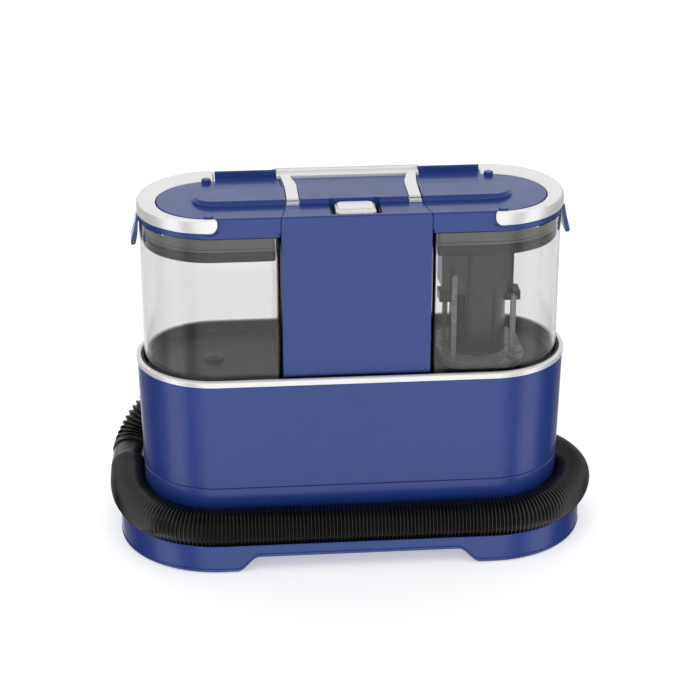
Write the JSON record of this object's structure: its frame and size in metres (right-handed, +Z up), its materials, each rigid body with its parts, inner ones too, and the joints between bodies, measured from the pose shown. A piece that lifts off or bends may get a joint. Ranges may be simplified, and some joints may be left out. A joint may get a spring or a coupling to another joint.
{
  "type": "portable carpet cleaner",
  "caption": "Portable spot cleaner for carpets and upholstery: two clear lift-out water tanks beside a centre column, with a suction hose wrapped round the base.",
  "frame": {"origin": "on the floor under the centre of the base plate", "axes": "+X towards the dirty water tank, +Y to the rear, +Z up"},
  "size_m": [0.3962, 0.1901, 0.2966],
  "materials": {
    "blue_shell": "smooth satin-gloss moulded ABS, deep blue",
    "silver_trim": "fine satin silver finish",
    "black_plastic": "fine-grained black moulding",
    "dark_plastic": "fine-grained dark grey moulding",
    "clear_tank": "clear moulded plastic tank wall",
    "rubber": "soft matte rubber",
    "steel": "plain machined steel",
    "hose": "ribbed black corrugated hose, semi-gloss",
    "white_plastic": "translucent milky plastic",
    "smoke_plastic": "smoke grey moulding",
    "grey_plastic": "warm grey moulding",
    "circuit_board": "green circuit board with solder mask",
    "filter_foam": "open-cell filter foam",
    "aluminium": "stamped sheet"
  },
  "bodies": {
    "root": {"base_plate": "blue_shell", "rubber_feet": "rubber", "base_screws": "steel", "hose_pedestal": "blue_shell", "lower_housing": "blue_shell", "trim_ring": "silver_trim", "tank_well": "black_plastic", "column_frame": "dark_plastic", "centre_cover": "blue_shell", "centre_panel": "blue_shell", "button_bezel": "black_plastic", "button_spring": "steel", "power_switch": "black_plastic", "control_board": "circuit_board", "carry_handle_pins": "steel", "rear_cover": "blue_shell", "rear_cover_screws": "steel", "tool_clip": "dark_plastic", "exhaust_grille": "dark_plastic", "exhaust_filter": "filter_foam", "mains_gland": "rubber", "vacuum_motor": "steel", "fan_housing": "dark_plastic", "motor_mounts": "rubber", "water_pump": "dark_plastic", "pump_inlet_tube": "white_plastic", "pump_outlet_tube": "white_plastic", "valve_socket": "dark_plastic", "suction_duct": "dark_plastic", "hose_port": "dark_plastic", "hose_boot": "hose", "suction_hose": "hose", "hose_cuff": "dark_plastic", "tool_handle": "dark_plastic", "tool_nozzle": "clear_tank", "tool_brush": "black_plastic", "spray_tip": "dark_plastic"},
    "power_button": {"power_button": "silver_trim"},
    "carry_handle": {"carry_handle": "silver_trim"},
    "clean_tank": {"clean_tank": "clear_tank"},
    "clean_valve": {"clean_valve": "rubber"},
    "clean_lid": {"clean_lid": "blue_shell", "clean_lid_plug": "grey_plastic", "clean_lid_seal": "rubber", "clean_handle_pins": "steel"},
    "clean_handle": {"clean_handle": "silver_trim"},
    "clean_latch": {"clean_latch": "blue_shell"},
    "dirty_tank": {"dirty_tank": "clear_tank", "dirty_standpipe": "smoke_plastic"},
    "dirty_float": {"dirty_float": "white_plastic"},
    "dirty_lid": {"dirty_lid": "blue_shell", "dirty_lid_plug": "grey_plastic", "dirty_lid_seal": "rubber", "dirty_handle_pins": "steel"},
    "dirty_handle": {"dirty_handle": "silver_trim"},
    "dirty_latch": {"dirty_latch": "blue_shell"},
    "fan_rotor": {"fan_impeller": "aluminium", "motor_shaft": "steel"},
    "tool_trigger": {"tool_trigger": "blue_shell"}
  },
  "joints": [
    {"name": "power_button_press", "type": "slide", "parent": "root", "child": "power_button", "axis": [0, 0, -1], "range_m": [0, 0.002], "stiffness_N_per_m": 1500, "deforming": ["button_spring"]},
    {"name": "carry_handle_lift", "type": "hinge", "parent": "root", "child": "carry_handle", "pos_m": [0, -0.0289, 0.29295], "axis": [1, 0, 0], "range_deg": [0, 75]},
    {"name": "clean_tank_lift", "type": "slide", "parent": "root", "child": "clean_tank", "axis": [0, 0, 1], "range_m": [0, 0.145]},
    {"name": "clean_valve_open", "type": "slide", "parent": "clean_tank", "child": "clean_valve", "axis": [0, 0, 1], "range_m": [0, 0.004], "stiffness_N_per_m": 120, "springref_m": -0.004},
    {"name": "clean_lid_lift", "type": "slide", "parent": "clean_tank", "child": "clean_lid", "axis": [0, 0, 1], "range_m": [0, 0.045]},
    {"name": "clean_handle_raise", "type": "hinge", "parent": "clean_lid", "child": "clean_handle", "pos_m": [-0.1112, 0, 0.2852], "axis": [0, 1, 0], "range_deg": [0, 90]},
    {"name": "clean_latch_open", "type": "hinge", "parent": "clean_lid", "child": "clean_latch", "pos_m": [-0.1652, 0, 0.2774], "axis": [0, 1, 0], "range_deg": [0, 55]},
    {"name": "dirty_tank_lift", "type": "slide", "parent": "root", "child": "dirty_tank", "axis": [0, 0, 1], "range_m": [0, 0.145]},
    {"name": "dirty_float_rise", "type": "slide", "parent": "dirty_tank", "child": "dirty_float", "axis": [0, 0, 1], "range_m": [0, 0.022]},
    {"name": "dirty_lid_lift", "type": "slide", "parent": "dirty_tank", "child": "dirty_lid", "axis": [0, 0, 1], "range_m": [0, 0.045]},
    {"name": "dirty_handle_raise", "type": "hinge", "parent": "dirty_lid", "child": "dirty_handle", "pos_m": [0.1112, 0, 0.2852], "axis": [0, -1, 0], "range_deg": [0, 90]},
    {"name": "dirty_latch_open", "type": "hinge", "parent": "dirty_lid", "child": "dirty_latch", "pos_m": [0.1652, 0, 0.2774], "axis": [0, -1, 0], "range_deg": [0, 55]},
    {"name": "fan_spin", "type": "hinge", "parent": "root", "child": "fan_rotor", "pos_m": [0, -0.008, 0.13], "axis": [0, 0, 1], "continuous": true},
    {"name": "trigger_pull", "type": "hinge", "parent": "root", "child": "tool_trigger", "pos_m": [0, 0.097, 0.18], "axis": [-1, 0, 0], "range_deg": [0, 8], "stiffness_Nm_per_rad": 1, "springref_deg": -5.73}
  ]
}
